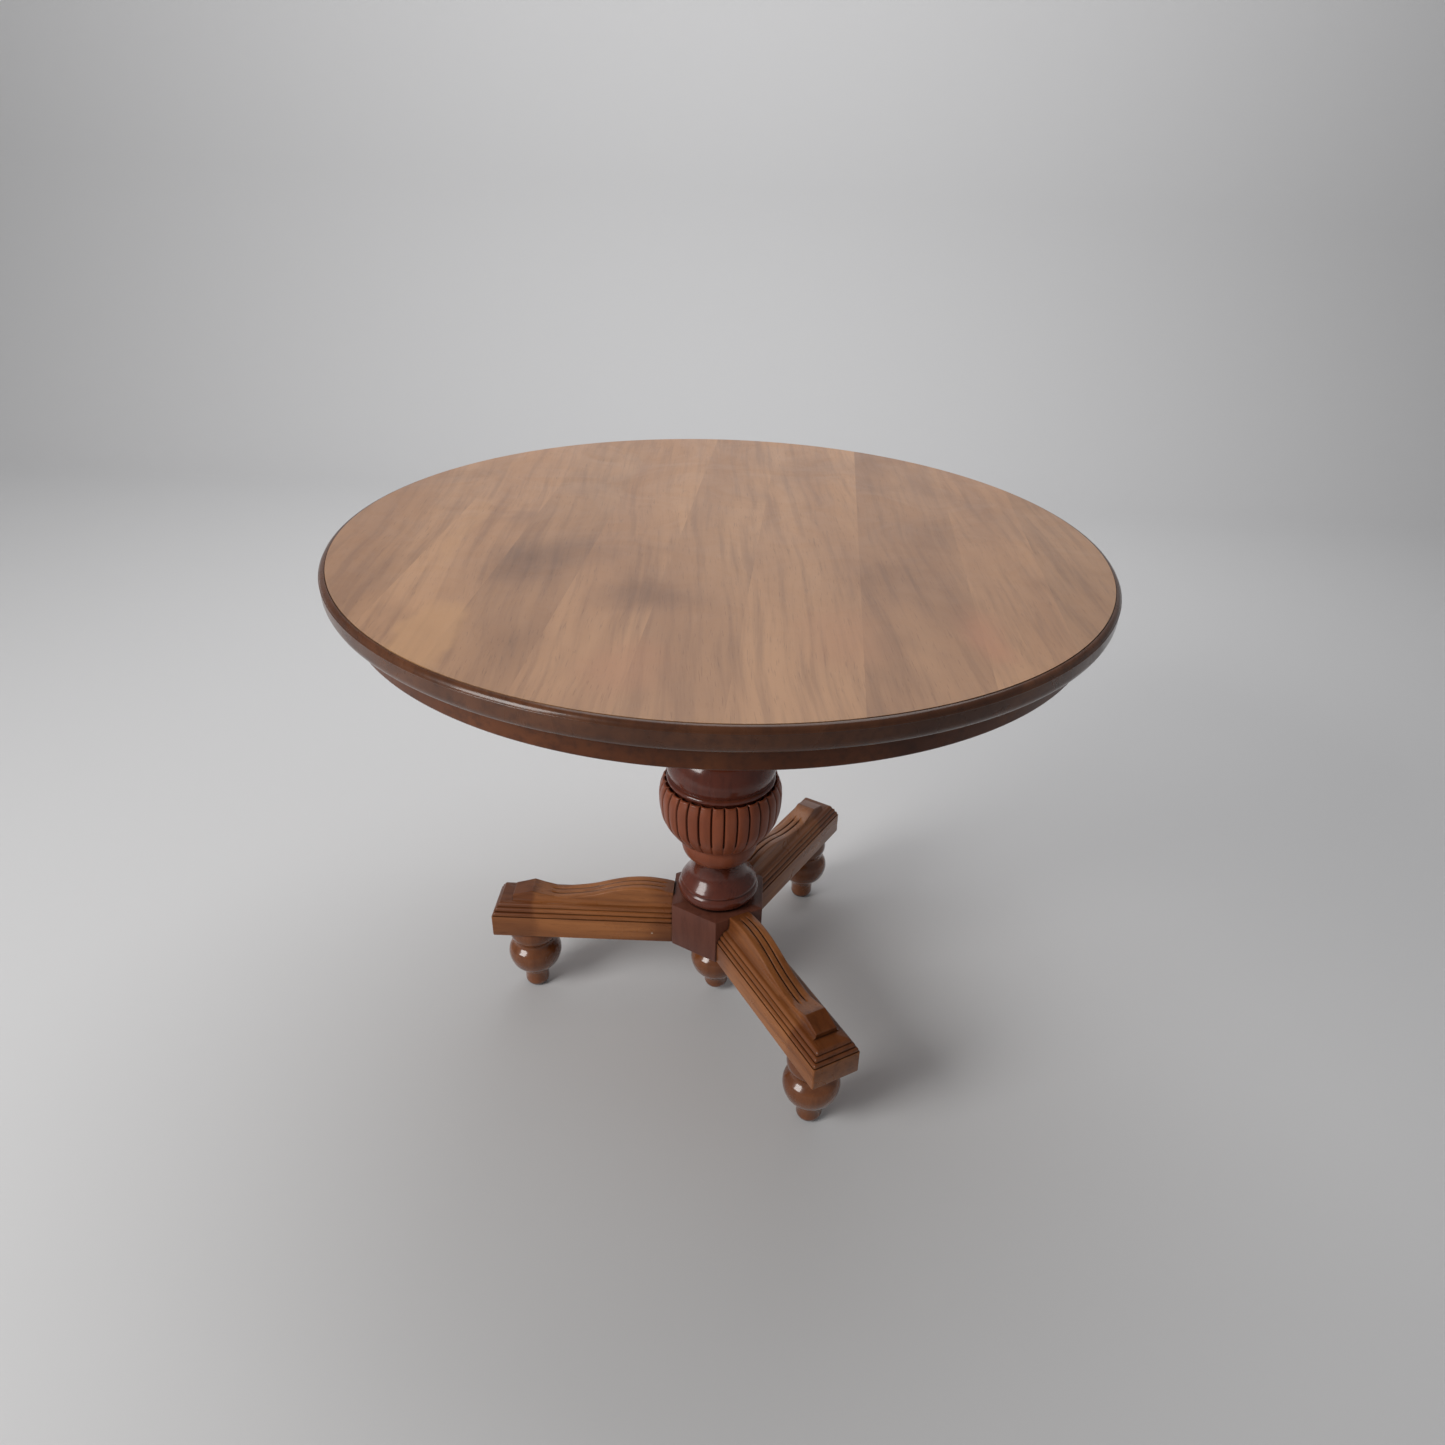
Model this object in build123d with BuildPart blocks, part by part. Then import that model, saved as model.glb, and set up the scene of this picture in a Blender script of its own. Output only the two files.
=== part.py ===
# Round pedestal table: boarded top with a bent edge band and a set-in apron, a turned column
# on a hexagonal hub, three moulded legs and four turned feet. Millimetres, +Z up, origin on the
# floor under the column's axis.
from build123d import *

import os
from math import cos, radians, sin

os.makedirs("parts", exist_ok=True)

# Driving dimensions of the whole table
table_height = 772
top_radius = 490
leg_angles = (60, 180, 300)

# Top: edge-glued boards inside a bent band
board_radius = 482
board_thickness = 26
board_turn = -3  # the grain runs this far off the Y axis
board_seams = (-482, -354, -257, -161, -60, 40, 168, 296, 392, 482)
band_ridge = 6.4  # from the top face down to the widest line of the edge
band_depth = 29
band_lip = 10
board_underside = table_height - board_thickness

# Apron: a ring of segments with splines and glue blocks
apron_radius = 465
apron_thickness = 20
apron_bottom = 711
segment_count = 6
segment_angle = 360 / segment_count
spline_length = 12
spline_thickness = 4
spline_height = 20
block_angle = 8
block_depth = 22
block_height = 28

# Bearers and mounting block under the boards
bearer_width = 60
bearer_thickness = 30
bearer_length = 780
bearer_screw_radius = 2.1
bearer_screw_length = 36
bearer_head_radius = 4.5
bearer_head_height = 3
bearer_counterbore = 11
mount_side = 240
mount_thickness = 28
mount_screw_radius = 3
mount_screw_length = 34
mount_head_radius = 6
mount_head_height = 4
mount_counterbore = 10
mount_screw_spacing = 180
mount_underside = board_underside - mount_thickness

# Column: vase, gadrooned bowl and bell on the hub
vase_bottom = 404
rim_height = 408.5  # top of the bowl's lip, which stands clear of the bead
bowl_bottom = 277
hub_top = 200
hub_bottom = 124
hub_radius = 79.4
hub_apothem = hub_radius * cos(radians(30))
top_tenon_radius = 26
top_tenon_length = 26
vase_spigot_radius = 28
bowl_spigot_radius = 24
bell_spigot_radius = 22
spigot_length = 40
bell_spigot_length = 34
gadroon_count = 30
gadroon_gap = 1.6
gadroon_gap_depth = 3

# Legs: a moulded rail with a reeded crest on it
rail_width = 74
rail_side_height = 36
rail_height = 56
rail_end = 347
crest_foot = 43
crest_waist = 33
crest_end = 316
crest_riser = 8.5  # height of the small riser that ends the crest
reed_gap = 1.8
reed_gap_depth = 2.2
reed_pitch = 10
dowel_radius = 6
dowel_length = 60
dowel_spread = 30
dowel_height = 26

# Feet
foot_circle = 292
foot_spigot_radius = 11
foot_spigot_length = 28
foot_flat = 12
centre_foot_lift = 9

top_plane = Plane.XY.rotated((0, 0, board_turn))


def leg_plan(angle):
    # X along the leg, Y across it
    return Plane((0, 0, 0), x_dir=(cos(radians(angle)), sin(radians(angle)), 0), z_dir=(0, 0, 1))


def leg_side(angle):
    # X along the leg, Y up
    return Plane(
        (0, 0, 0),
        x_dir=(cos(radians(angle)), sin(radians(angle)), 0),
        z_dir=(sin(radians(angle)), -cos(radians(angle)), 0),
    )


def leg_section(angle, reach):
    # X across the leg, Y up, standing out from the axis by reach
    along = Vector(cos(radians(angle)), sin(radians(angle)), 0)
    return Plane(along * reach, x_dir=(-along.Y, along.X, 0), z_dir=along)


def save(builder, label):
    builder.part.label = label
    export_step(builder.part, f"parts/{label}.step")


# ---- Top boards -------------------------------------------------------------------------------
bearer_offset = (mount_side + bearer_width) / 2
mount_screw_points = [
    (x * mount_screw_spacing / 2, y * mount_screw_spacing / 2) for x in (-1, 1) for y in (-1, 1)
]
board_centres = [(a + b) / 2 for a, b in zip(board_seams, board_seams[1:])]
bearer_screw_points = [(x, y) for x in board_centres[1:-1] for y in (-bearer_offset, bearer_offset)]
bearer_screw_bottom = board_underside - bearer_thickness + bearer_counterbore
mount_screw_bottom = mount_underside + mount_counterbore
bearer_screw_top = bearer_screw_bottom + bearer_screw_length
mount_screw_top = mount_screw_bottom + mount_screw_length
board_screws = (
    (bearer_screw_points, bearer_screw_radius, bearer_screw_top),
    (mount_screw_points, mount_screw_radius, mount_screw_top),
)


def points_between(points, left, right):
    return [point for point in points if left < point[0] < right]


for number, (left, right) in enumerate(zip(board_seams, board_seams[1:]), 1):
    with BuildPart() as board:
        with BuildSketch(top_plane.offset(board_underside)):
            with Locations(((left + right) / 2, 0)):
                Rectangle(right - left, 2 * board_radius)
            Circle(board_radius, mode=Mode.INTERSECT)
        extrude(amount=board_thickness)
        for points, radius, top in board_screws:
            if points_between(points, left, right):
                with BuildSketch(top_plane.offset(board_underside)):
                    with Locations(*points_between(points, left, right)):
                        Circle(radius)
                extrude(amount=top - board_underside, mode=Mode.SUBTRACT)
    save(board, f"top_board_{number}")

# ---- Edge band --------------------------------------------------------------------------------
ridge_height = table_height - band_ridge
band_bottom = table_height - band_depth

# Quirk beside the boards, ovolo, sharp ridge, upright face and a rounded foot
quirk = (board_radius, table_height - 1.6)
arris = (board_radius + 0.8, table_height - 0.8)
shoulder = (board_radius + 4.6, table_height - 2.6)
ridge = (top_radius, ridge_height)
upright = (top_radius, ridge_height - 12)
turn = (top_radius - 1.9, ridge_height - 18.2)
foot = (top_radius - 6, band_bottom)
lip = board_radius - band_lip
board_edge = (board_radius, board_underside)

with BuildPart() as band:
    with BuildSketch(Plane.XZ):
        with BuildLine():
            Line(quirk, arris)
            ThreePointArc(arris, shoulder, ridge)
            Line(ridge, upright)
            ThreePointArc(upright, turn, foot)
            Polyline(foot, (lip, band_bottom), (lip, board_underside), board_edge, quirk)
        make_face()
    revolve(axis=Axis.Z, revolution_arc=segment_angle)
for number in range(segment_count):
    with BuildPart() as segment:
        add(band.part.rotate(Axis.Z, number * segment_angle + segment_angle / 2))
    save(segment, f"edge_band_{number + 1}")

# ---- Apron ------------------------------------------------------------------------------------
apron_height = board_underside - apron_bottom
apron_middle = apron_bottom + apron_height / 2
spline_radius = apron_radius - apron_thickness / 2

with BuildPart() as apron:
    with BuildSketch(Plane.XZ):
        with Locations((spline_radius, apron_middle)):
            Rectangle(apron_thickness, apron_height)
    revolve(axis=Axis.Z, revolution_arc=segment_angle)
    fillet(apron.edges().filter_by(GeomType.CIRCLE).group_by(Axis.Z)[0], radius=3)
    for turn in (0, segment_angle):
        with BuildSketch(leg_plan(turn).offset(apron_middle - spline_height / 2)):
            with Locations((spline_radius, 0)):
                Rectangle(spline_thickness, spline_length)
        extrude(amount=spline_height, mode=Mode.SUBTRACT)
for number in range(segment_count):
    with BuildPart() as segment:
        add(apron.part.rotate(Axis.Z, number * segment_angle))
    save(segment, f"apron_segment_{number + 1}")

with BuildPart() as apron_splines:
    with BuildSketch(Plane.XY.offset(apron_middle - spline_height / 2)):
        with PolarLocations(spline_radius, segment_count):
            Rectangle(spline_thickness, spline_length)
    extrude(amount=spline_height)
save(apron_splines, "apron_splines")

# ---- Glue blocks behind the apron's joints ----------------------------------------------------
block_outer = apron_radius - apron_thickness
with BuildPart() as glue_block:
    with BuildSketch(Plane.XZ):
        with Locations((block_outer, board_underside)):
            Rectangle(block_depth, block_height, align=(Align.MAX, Align.MAX))
    revolve(axis=Axis.Z, revolution_arc=block_angle)
    inner_edge = glue_block.edges().filter_by(GeomType.CIRCLE).group_by(Axis.Z)[0]
    chamfer(inner_edge.sort_by(SortBy.LENGTH)[0], length=12)
for number in range(segment_count):
    with BuildPart() as placed_block:
        add(glue_block.part.rotate(Axis.Z, number * segment_angle - block_angle / 2))
    save(placed_block, f"glue_block_{number + 1}")

# ---- Bearers across the boards ----------------------------------------------------------------
for side, name in ((-1, "front_bearer"), (1, "rear_bearer")):
    holes = [point for point in bearer_screw_points if point[1] * side > 0]
    with BuildPart() as bearer:
        with BuildSketch(top_plane.offset(board_underside - bearer_thickness)):
            with Locations((0, side * bearer_offset)):
                Rectangle(bearer_length, bearer_width)
        extrude(amount=bearer_thickness)
        ends = bearer.edges().group_by(Axis.Z)[0].filter_by(lambda edge: edge.length < 2 * bearer_width)
        chamfer(ends, length=18)
        with BuildSketch(top_plane.offset(board_underside - bearer_thickness)):
            with Locations(*holes):
                Circle(bearer_head_radius)
        extrude(amount=bearer_counterbore, mode=Mode.SUBTRACT)
        with BuildSketch(top_plane.offset(bearer_screw_bottom)):
            with Locations(*holes):
                Circle(bearer_screw_radius)
        extrude(amount=bearer_thickness, mode=Mode.SUBTRACT)
    save(bearer, name)


def make_screws(points, bottom, radius, length, head_radius, head_height):
    # Round-headed screws standing point up, their heads at the foot of the counterbores
    with BuildPart() as screws:
        with BuildSketch(top_plane.offset(bottom)):
            with Locations(*points):
                Circle(radius)
        extrude(amount=length)
        with BuildSketch(top_plane.offset(bottom - head_height)):
            with Locations(*points):
                Circle(head_radius - 0.5)
        extrude(amount=head_height)
        tops = screws.edges().group_by(Axis.Z)[-1]
        chamfer(tops, length=radius * 0.8)
    return screws


bearer_screws = make_screws(
    bearer_screw_points,
    bearer_screw_bottom,
    bearer_screw_radius,
    bearer_screw_length,
    bearer_head_radius,
    bearer_head_height,
)
save(bearer_screws, "bearer_screws")

# ---- Mounting block between the bearers -------------------------------------------------------
with BuildPart() as mounting_block:
    with BuildSketch(top_plane.offset(mount_underside)):
        Rectangle(mount_side, mount_side)
    extrude(amount=mount_thickness)
    chamfer(mounting_block.edges().group_by(Axis.Z)[0], length=5)
    with BuildSketch(Plane.XY.offset(mount_underside)):
        Circle(top_tenon_radius)
    extrude(amount=mount_thickness, mode=Mode.SUBTRACT)
    with BuildSketch(top_plane.offset(mount_underside)):
        with Locations(*mount_screw_points):
            Circle(mount_head_radius)
    extrude(amount=mount_counterbore, mode=Mode.SUBTRACT)
    with BuildSketch(top_plane.offset(mount_screw_bottom)):
        with Locations(*mount_screw_points):
            Circle(mount_screw_radius)
    extrude(amount=mount_thickness, mode=Mode.SUBTRACT)
save(mounting_block, "mounting_block")

mounting_screws = make_screws(
    mount_screw_points,
    mount_screw_bottom,
    mount_screw_radius,
    mount_screw_length,
    mount_head_radius,
    mount_head_height,
)
save(mounting_screws, "mounting_screws")

# ---- Column vase: cap, tapered shaft, dome and bead -------------------------------------------
with BuildPart() as column_vase:
    with BuildSketch(Plane.XZ):
        with BuildLine():
            Polyline(
                (0, vase_bottom - spigot_length),
                (vase_spigot_radius, vase_bottom - spigot_length),
                (vase_spigot_radius, vase_bottom),
                (75.5, vase_bottom),
                (75.5, 408),
            )
            ThreePointArc((75.5, 408), (79.5, 412.5), (76.4, 417))
            Line((76.4, 417), (75.8, 418))
            Spline(
                (75.8, 418),
                (79, 428),
                (79, 441),
                (70, 464),
                (50, 481),
                tangents=((1, 1), (-2, 0.7)),
            )
            Line((50, 481), (46, 485))
            ThreePointArc((46, 485), (50.5, 490.5), (46, 496))
            Spline(
                (46, 496),
                (37, 516),
                (34, 570),
                (38, 650),
                (36, 684),
                tangents=((-1, 0.6), (-0.3, 1)),
            )
            ThreePointArc((36, 684), (41, 688.5), (36.5, 693))
            ThreePointArc((36.5, 693), (42, 704), (58, 708))
            Polyline(
                (58, 708),
                (60, 710),
                (60, mount_underside),
                (top_tenon_radius, mount_underside),
                (top_tenon_radius, mount_underside + top_tenon_length),
                (0, mount_underside + top_tenon_length),
                (0, vase_bottom - spigot_length),
            )
        make_face()
    revolve(axis=Axis.Z)
save(column_vase, "column_vase")

# ---- Gadrooned bowl with its collar -----------------------------------------------------------
cutter_top = rim_height + 5
cutter_radius = 100
bowl_points = ((85, 407.5), (90.3, 387), (86.5, 350), (58, 311.5))


def bowl_curve(inset=0):
    points = [(radius - inset, height) for radius, height in bowl_points]
    return Spline(points, tangents=((0.4, -1), (-1, -0.25)))


with BuildPart() as gadroon_bowl:
    with BuildSketch(Plane.XZ):
        with BuildLine():
            Polyline(
                (0, vase_bottom - spigot_length),
                (vase_spigot_radius, vase_bottom - spigot_length),
                (vase_spigot_radius, vase_bottom),
                (77.5, vase_bottom),
                (82.5, rim_height),
                (84, rim_height),
                bowl_points[0],
            )
            bowl_curve()
            Polyline(bowl_points[-1], (54, 310))
            ThreePointArc((54, 310), (56.5, 293), (47, bowl_bottom))
            Polyline(
                (47, bowl_bottom),
                (bowl_spigot_radius, bowl_bottom),
                (bowl_spigot_radius, bowl_bottom - spigot_length),
                (0, bowl_bottom - spigot_length),
                (0, vase_bottom - spigot_length),
            )
        make_face()
    revolve(axis=Axis.Z)
    for number in range(gadroon_count):
        angle = (number + 0.5) * 360 / gadroon_count
        with BuildSketch(leg_side(angle)):
            with BuildLine():
                bowl_curve(gadroon_gap_depth)
                top_inner = (bowl_points[0][0] - gadroon_gap_depth, bowl_points[0][1])
                foot_inner = (bowl_points[-1][0] - gadroon_gap_depth, bowl_points[-1][1])
                Polyline(top_inner, (top_inner[0], cutter_top), (cutter_radius, cutter_top))
                Polyline((cutter_radius, cutter_top), (cutter_radius, foot_inner[1]), foot_inner)
            make_face()
        extrude(amount=gadroon_gap / 2, both=True, mode=Mode.SUBTRACT)
save(gadroon_bowl, "gadroon_bowl")

# ---- Bell between the bowl and the hub --------------------------------------------------------
with BuildPart() as column_bell:
    with BuildSketch(Plane.XZ):
        with BuildLine():
            Line((bowl_spigot_radius, bowl_bottom), (45, bowl_bottom))
            Spline(
                (45, bowl_bottom),
                (41.8, 263),
                (44.5, 248),
                (53, 236),
                (58, 227),
                tangents=((-0.3, -1), (0.1, -1)),
            )
            Line((58, 227), (56.4, 225.4))
            ThreePointArc((56.4, 225.4), (61.4, 215.4), (55.5, 205))
            Polyline(
                (55.5, 205),
                (50, hub_top),
                (bell_spigot_radius, hub_top),
                (bell_spigot_radius, hub_top - bell_spigot_length),
                (0, hub_top - bell_spigot_length),
                (0, bowl_bottom - spigot_length),
                (bowl_spigot_radius, bowl_bottom - spigot_length),
                (bowl_spigot_radius, bowl_bottom),
            )
        make_face()
    revolve(axis=Axis.Z)
save(column_bell, "column_bell")

# ---- Hexagonal hub ----------------------------------------------------------------------------
dowel_centre = hub_bottom + dowel_height
dowel_points = [(side * dowel_spread / 2, dowel_centre) for side in (-1, 1)]
with BuildPart() as leg_hub:
    with BuildSketch(Plane.XY.offset(hub_bottom)):
        RegularPolygon(hub_radius, 6, rotation=30)
    extrude(amount=hub_top - hub_bottom)
    fillet(leg_hub.edges().filter_by(Axis.Z), radius=1.5)
    chamfer(leg_hub.edges().group_by(Axis.Z)[-1], length=1)
    with BuildSketch(Plane.XY.offset(hub_top)):
        Circle(bell_spigot_radius)
    extrude(amount=-bell_spigot_length, mode=Mode.SUBTRACT)
    with BuildSketch(Plane.XY.offset(hub_bottom)):
        Circle(foot_spigot_radius)
    extrude(amount=foot_spigot_length, mode=Mode.SUBTRACT)
    for angle in leg_angles:
        with BuildSketch(leg_section(angle, hub_apothem)):
            with Locations(*dowel_points):
                Circle(dowel_radius)
        extrude(amount=-dowel_length / 2, mode=Mode.SUBTRACT)
save(leg_hub, "leg_hub")

with BuildPart() as leg_dowels:
    for angle in leg_angles:
        with BuildSketch(leg_section(angle, hub_apothem - dowel_length / 2)):
            with Locations(*dowel_points):
                Circle(dowel_radius)
        extrude(amount=dowel_length)
save(leg_dowels, "leg_dowels")

# ---- Legs -------------------------------------------------------------------------------------
rail_top = hub_bottom + rail_height
rail_shoulder = hub_bottom + rail_side_height


def edge_moulding(edge):
    # Two beads and an ovolo, climbing inwards from the upright side at x = edge
    side = (edge, rail_shoulder)
    first = (edge - 1.6, rail_shoulder + 0.8)
    second = (edge - 5, rail_shoulder + 6.6)
    third = (edge - 8.6, rail_shoulder + 14)
    last = (edge - 13, rail_top)
    Line(side, first)
    ThreePointArc(first, (edge - 2.2, rail_shoulder + 5), second)
    ThreePointArc(second, (edge - 5.6, rail_shoulder + 11.6), third)
    ThreePointArc(third, (edge - 10, rail_shoulder + 18.4), last)
    return side, last


crest_line = ((hub_apothem, 203), (112, 210), (162, 203), (242, 187), (286, 197))


def crest_curve(drop=0):
    points = [(reach, height - drop) for reach, height in crest_line]
    return Spline(points, tangents=((1, 0.35), (1, 0.1)))


for number, angle in enumerate(leg_angles, 1):
    with BuildPart() as leg_rail:
        with BuildSketch(leg_section(angle, hub_apothem)):
            with BuildLine():
                side, last = edge_moulding(rail_width / 2)
                corner = (rail_width / 2, hub_bottom)
                Polyline(last, (0, rail_top), (0, hub_bottom), corner, side)
            make_face()
            mirror(about=Plane.YZ)
        extrude(amount=rail_end - hub_apothem)
        with BuildSketch(leg_side(angle)):
            with BuildLine():
                side, last = edge_moulding(rail_end)
                heel = (hub_apothem, hub_bottom)
                Polyline(last, (hub_apothem, rail_top), heel, (rail_end, hub_bottom), side)
            make_face()
        extrude(amount=rail_width, both=True, mode=Mode.INTERSECT)
        with BuildSketch(leg_section(angle, hub_apothem)):
            with Locations(*dowel_points):
                Circle(dowel_radius)
        extrude(amount=dowel_length / 2, mode=Mode.SUBTRACT)
        with BuildSketch(leg_plan(angle).offset(hub_bottom)):
            with Locations((foot_circle, 0)):
                Circle(foot_spigot_radius)
        extrude(amount=foot_spigot_length, mode=Mode.SUBTRACT)
    save(leg_rail, f"leg_rail_{number}")

    with BuildPart() as leg_crest:
        with BuildSketch(leg_side(angle)):
            with BuildLine():
                crest_curve()
                Polyline(
                    crest_line[-1],
                    (crest_end, rail_top + crest_riser),
                    (crest_end, rail_top),
                    (hub_apothem, rail_top),
                    crest_line[0],
                )
            make_face()
        extrude(amount=crest_foot / 2, both=True)
        with BuildSketch(leg_section(angle, hub_apothem)):
            with BuildLine():
                ThreePointArc(
                    (crest_foot / 2, rail_top),
                    (crest_waist / 2 + 1.6, rail_top + 6),
                    (crest_waist / 2, rail_top + 14),
                )
                Polyline(
                    (crest_waist / 2, rail_top + 14),
                    (crest_waist / 2, rail_top + 40),
                    (0, rail_top + 40),
                    (0, rail_top),
                    (crest_foot / 2, rail_top),
                )
            make_face()
            mirror(about=Plane.YZ)
        extrude(amount=crest_end - hub_apothem, mode=Mode.INTERSECT)
        for offset_across in (-reed_pitch / 2, reed_pitch / 2):
            plane = leg_side(angle).offset(offset_across)
            with BuildSketch(plane):
                with BuildLine():
                    crest_curve(reed_gap_depth)
                    start = (crest_line[0][0], crest_line[0][1] - reed_gap_depth)
                    finish = (crest_line[-1][0], crest_line[-1][1] - reed_gap_depth)
                    above = rail_top + 50
                    Polyline(start, (start[0], above), (finish[0] - 22, above), finish)
                make_face()
            extrude(amount=reed_gap / 2, both=True, mode=Mode.SUBTRACT)
    save(leg_crest, f"leg_crest_{number}")

# ---- Feet -------------------------------------------------------------------------------------
def turn_foot(plane, lift):
    # Spigot, collar, groove, flattened ball and a short peg with a rounded end
    with BuildPart() as foot:
        with BuildSketch(plane):
            with BuildLine():
                Polyline(
                    (0, hub_bottom + foot_spigot_length),
                    (foot_spigot_radius, hub_bottom + foot_spigot_length),
                    (foot_spigot_radius, hub_bottom),
                    (34, hub_bottom),
                )
                ThreePointArc((34, hub_bottom), (37.5, 111), (33, 98))
                ThreePointArc((33, 98), (30.5, 92.5), (33, 87))
                Spline(
                    (33, 87),
                    (40, 79),
                    (41, 66),
                    (36, 50),
                    (26, 39),
                    (18.8, 25),
                    tangents=((1, 0), (-0.05, -1)),
                )
                Line((18.8, 25), (18.4, lift + 14))
                ThreePointArc((18.4, lift + 14), (16.4, lift + 4), (foot_flat, lift))
                Polyline((foot_flat, lift), (0, lift), (0, hub_bottom + foot_spigot_length))
            make_face()
        revolve(axis=Axis(plane.origin, (0, 0, 1)))
    return foot


for number, angle in enumerate(leg_angles, 1):
    along = Vector(cos(radians(angle)), sin(radians(angle)), 0)
    upright = Plane(along * foot_circle, x_dir=(1, 0, 0), z_dir=(0, -1, 0))
    save(turn_foot(upright, 0), f"bun_foot_{number}")
save(turn_foot(Plane.XZ, centre_foot_lift), "centre_foot")
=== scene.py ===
import math
import bpy
from mathutils import Matrix, Vector


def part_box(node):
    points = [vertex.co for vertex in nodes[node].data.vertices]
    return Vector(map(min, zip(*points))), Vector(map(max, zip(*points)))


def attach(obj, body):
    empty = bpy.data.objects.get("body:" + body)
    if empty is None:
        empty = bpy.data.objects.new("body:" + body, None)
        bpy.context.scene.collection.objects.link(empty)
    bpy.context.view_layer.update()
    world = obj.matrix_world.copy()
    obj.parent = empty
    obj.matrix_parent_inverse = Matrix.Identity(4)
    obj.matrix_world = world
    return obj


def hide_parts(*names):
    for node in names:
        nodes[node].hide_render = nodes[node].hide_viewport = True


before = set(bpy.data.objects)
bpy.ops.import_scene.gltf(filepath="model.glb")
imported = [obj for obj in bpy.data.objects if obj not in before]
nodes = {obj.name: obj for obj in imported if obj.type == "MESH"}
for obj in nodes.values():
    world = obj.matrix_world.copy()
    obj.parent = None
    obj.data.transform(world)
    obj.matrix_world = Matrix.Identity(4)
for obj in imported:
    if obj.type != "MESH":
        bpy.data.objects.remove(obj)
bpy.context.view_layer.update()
print("loaded the packed table with", len(nodes), "nodes")

mm = 0.001
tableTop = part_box("top_board_5")[1].z
legAngles = (60, 180, 300)


# lines and meshes

def smoothLine(points, steps=8):
    # Catmull-Rom curve through the points
    line = []
    padded = [points[0]] + list(points) + [points[-1]]
    for before, start, end, after in zip(padded, padded[1:], padded[2:], padded[3:]):
        for step in range(steps):
            t = step / steps
            line.append(tuple(
                0.5 * (2 * b + (c - a) * t + (2 * a - 5 * b + 4 * c - d) * t ** 2
                       + (3 * b - a - 3 * c + d) * t ** 3)
                for a, b, c, d in zip(before, start, end, after)))
    line.append(tuple(points[-1]))
    return line


def arcLine(start, through, end, steps=8):
    # circular arc through three points in a plane
    ax, ay = start
    bx, by = through
    cx, cy = end
    d = 2 * (ax * (by - cy) + bx * (cy - ay) + cx * (ay - by))
    a2, b2, c2 = ax ** 2 + ay ** 2, bx ** 2 + by ** 2, cx ** 2 + cy ** 2
    ux = (a2 * (by - cy) + b2 * (cy - ay) + c2 * (ay - by)) / d
    uy = (a2 * (cx - bx) + b2 * (ax - cx) + c2 * (bx - ax)) / d
    radius = math.hypot(ax - ux, ay - uy)
    first = math.atan2(ay - uy, ax - ux)
    middle = (math.atan2(by - uy, bx - ux) - first) % (2 * math.pi)
    last = (math.atan2(cy - uy, cx - ux) - first) % (2 * math.pi)
    if middle > last:
        last -= 2 * math.pi
    angles = [first + last * i / steps for i in range(steps + 1)]
    return [(ux + radius * math.cos(angle), uy + radius * math.sin(angle)) for angle in angles]


def joinLines(*lines):
    whole = []
    for line in lines:
        for point in line:
            if not whole or math.dist(whole[-1], point) > 1e-4:
                whole.append(tuple(point))
    return whole


def smoothStep(low, high, value):
    t = min(1, max(0, (value - low) / (high - low)))
    return t * t * (3 - 2 * t)


def addPiece(name, vertices, faces, material, slotName, *replaced, sharpAngle=32, turn=None):
    # vertices come in millimetres; turn is a matrix for a piece built along X
    mesh = bpy.data.meshes.new(name)
    mesh.from_pydata([tuple(c * mm for c in v) for v in vertices], [], faces)
    mesh.validate()
    mesh.update()
    for polygon in mesh.polygons:
        polygon.use_smooth = True
    mesh.set_sharp_from_angle(angle=math.radians(sharpAngle))
    mesh.materials.append(material)
    piece = bpy.data.objects.new(name, mesh)
    bpy.context.scene.collection.objects.link(piece)
    if turn:
        piece.matrix_world = turn
    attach(piece, "root")
    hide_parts(*replaced)


def stackRings(rings, closedRound=True, capStart=False, capEnd=False):
    # quads between rings that all have the same number of points
    vertices = [point for ring in rings for point in ring]
    count = len(rings[0])
    faces = []
    for row in range(len(rings) - 1):
        for i in range(count if closedRound else count - 1):
            j = (i + 1) % count
            faces.append((row * count + i, row * count + j, (row + 1) * count + j, (row + 1) * count + i))
    if capStart:
        faces.append(tuple(range(count))[::-1])
    if capEnd:
        faces.append(tuple((len(rings) - 1) * count + i for i in range(count)))
    return vertices, faces


def turnedSolid(profile, steps=96, shape=None):
    # profile runs bottom to top as (radius, height); shape may change the radius with the angle
    rings = []
    for radius, height in profile:
        ring = []
        for i in range(steps):
            angle = 2 * math.pi * i / steps
            r = shape(radius, height, angle) if shape else radius
            ring.append((r * math.cos(angle), r * math.sin(angle), height))
        rings.append(ring)
    return stackRings(rings, True, True, True)


def ringSegment(section, startDegrees, endDegrees, steps):
    # a closed section of (radius, height) points swept round the table's axis, with flat ends
    rings = []
    for i in range(steps + 1):
        angle = math.radians(startDegrees + (endDegrees - startDegrees) * i / steps)
        rings.append([(r * math.cos(angle), r * math.sin(angle), z) for r, z in section])
    return stackRings(rings, True, True, True)


# shader node groups that several materials share

def newGroup(name, inputs, outputs):
    group = bpy.data.node_groups.new(name, "ShaderNodeTree")
    for label, kind, value in inputs:
        socket = group.interface.new_socket(label, in_out="INPUT", socket_type=kind)
        if value is not None:
            socket.default_value = value
    for label, kind in outputs:
        group.interface.new_socket(label, in_out="OUTPUT", socket_type=kind)
    return group, group.nodes.new("NodeGroupInput"), group.nodes.new("NodeGroupOutput")


def addNode(tree, kind, settings=None, values=None):
    node = tree.nodes.new(kind)
    for key, value in (settings or {}).items():
        setattr(node, key, value)
    for key, value in (values or {}).items():
        if isinstance(value, bpy.types.NodeSocket):
            tree.links.new(value, node.inputs[key])
        else:
            node.inputs[key].default_value = value
    return node


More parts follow.
